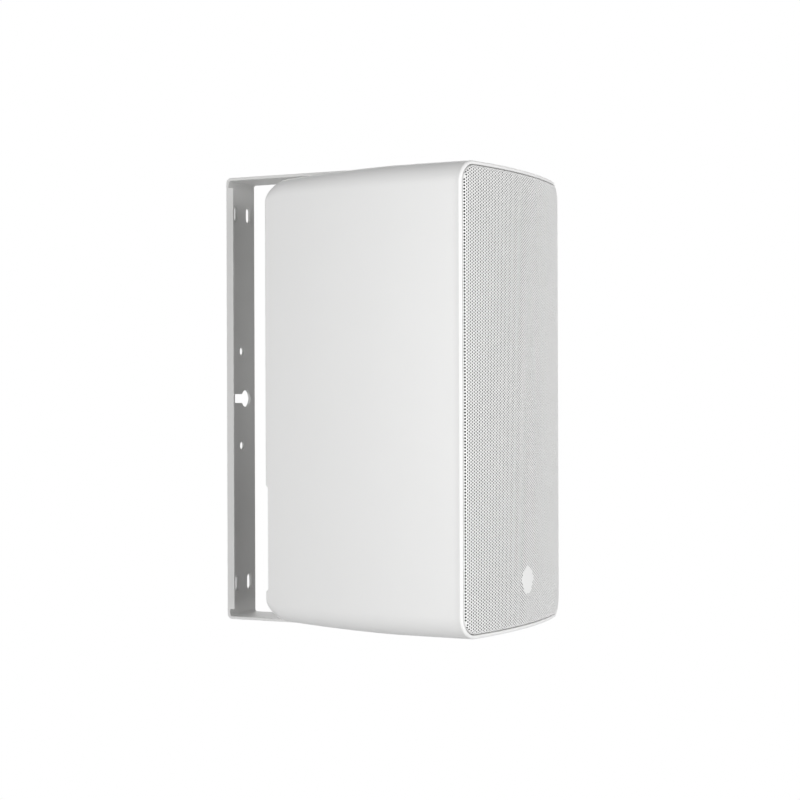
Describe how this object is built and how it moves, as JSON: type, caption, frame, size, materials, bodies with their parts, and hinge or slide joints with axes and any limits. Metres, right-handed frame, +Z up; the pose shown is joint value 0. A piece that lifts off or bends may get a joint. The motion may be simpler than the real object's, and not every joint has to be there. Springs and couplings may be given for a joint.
{
  "type": "two-way speaker",
  "caption": "White two-way wall speaker: a bowed box with a full-height perforated metal grille, held between the arms of a flat steel U-bracket so that it swivels about an upright axis.",
  "frame": {"origin": "middle of the bracket's wall face, at mid-height and mid-width, on the line through its two small round fixing holes", "axes": "+Z up along the bracket and the cabinet, +Y into the wall, the grille faces -Y, +X to the right for someone who faces the grille"},
  "size_m": [0.199, 0.2771, 0.3942],
  "materials": {
    "cabinet_plastic": "finely textured white moulded plastic",
    "baffle_plastic": "black moulded plastic",
    "black_steel": "blackened steel screws",
    "grille_metal": "white powder coat on perforated steel",
    "foam": "thin dark acoustic cloth behind the grille",
    "driver_steel": "zinc plated pressed steel",
    "rubber": "matte black rubber",
    "cone_plastic": "dark grey polypropylene cone",
    "spider_cloth": "impregnated corrugated cloth",
    "former": "brown voice coil former",
    "copper": "enamelled copper wire",
    "ferrite": "dark grey ferrite",
    "dome_cloth": "coated cloth dome",
    "damping": "off-white fibre wadding",
    "board": "green circuit board",
    "capacitor": "blue wrapped film capacitors",
    "ceramic": "white ceramic resistor bodies",
    "bright_steel": "bright zinc plate",
    "terminal_plastic": "black moulded plastic",
    "contact_brass": "plain brass",
    "lever_red": "red moulded plastic",
    "lever_black": "black moulded plastic",
    "bracket_paint": "white powder coat on folded steel"
  },
  "bodies": {
    "bracket": {"u_bracket": "bracket_paint"},
    "cabinet": {"cabinet_shell": "cabinet_plastic", "front_baffle": "baffle_plastic", "baffle_screws": "black_steel", "grille": "grille_metal", "grille_foam": "foam", "woofer_frame": "driver_steel", "woofer_gasket": "rubber", "woofer_surround": "rubber", "woofer_spider": "spider_cloth", "woofer_top_plate": "driver_steel", "woofer_magnet": "ferrite", "woofer_pole_piece": "driver_steel", "woofer_screws": "black_steel", "tweeter_waveguide": "baffle_plastic", "tweeter_surround": "rubber", "tweeter_top_plate": "driver_steel", "tweeter_magnet": "ferrite", "tweeter_pole_piece": "driver_steel", "tweeter_screws": "black_steel", "reflex_ports": "baffle_plastic", "damping_pad": "damping", "crossover_board": "board", "crossover_standoffs": "cabinet_plastic", "crossover_coils": "copper", "crossover_capacitors": "capacitor", "crossover_resistors": "ceramic", "crossover_screws": "bright_steel", "terminal_cup": "terminal_plastic", "terminal_screws": "black_steel", "terminal_contacts": "contact_brass", "pivot_inserts": "contact_brass", "upper_pivot_pad": "rubber", "lower_pivot_pad": "rubber", "pivot_washers": "bright_steel", "pivot_bolts": "bright_steel"},
    "woofer_moving": {"woofer_cone": "cone_plastic", "woofer_dust_cap": "cone_plastic", "woofer_former": "former", "woofer_coil": "copper"},
    "tweeter_moving": {"tweeter_dome": "dome_cloth", "tweeter_coil": "copper"},
    "lever_red": {"terminal_lever_red": "lever_red"},
    "lever_black": {"terminal_lever_black": "lever_black"}
  },
  "joints": [
    {"name": "cabinet_swivel", "type": "hinge", "parent": "bracket", "child": "cabinet", "pos_m": [0, -0.161, 0], "axis": [0, 0, 1], "range_deg": [-90, 90]},
    {"name": "woofer_travel", "type": "slide", "parent": "cabinet", "child": "woofer_moving", "axis": [0, 1, 0], "range_m": [-0.004, 0.004], "stiffness_N_per_m": 1000, "deforming": ["woofer_surround", "woofer_spider"]},
    {"name": "tweeter_travel", "type": "slide", "parent": "cabinet", "child": "tweeter_moving", "axis": [0, 1, 0], "range_m": [-0.0004, 0.0004], "stiffness_N_per_m": 5000, "deforming": ["tweeter_surround"]},
    {"name": "lever_red_press", "type": "hinge", "parent": "cabinet", "child": "lever_red", "pos_m": [-0.014, -0.0971, -0.1178], "axis": [1, 0, 0], "range_deg": [0, 10], "stiffness_Nm_per_rad": 0.05, "springref_deg": -8.59},
    {"name": "lever_black_press", "type": "hinge", "parent": "cabinet", "child": "lever_black", "pos_m": [0.014, -0.0971, -0.1178], "axis": [1, 0, 0], "range_deg": [0, 10], "stiffness_Nm_per_rad": 0.05, "springref_deg": -8.59}
  ]
}
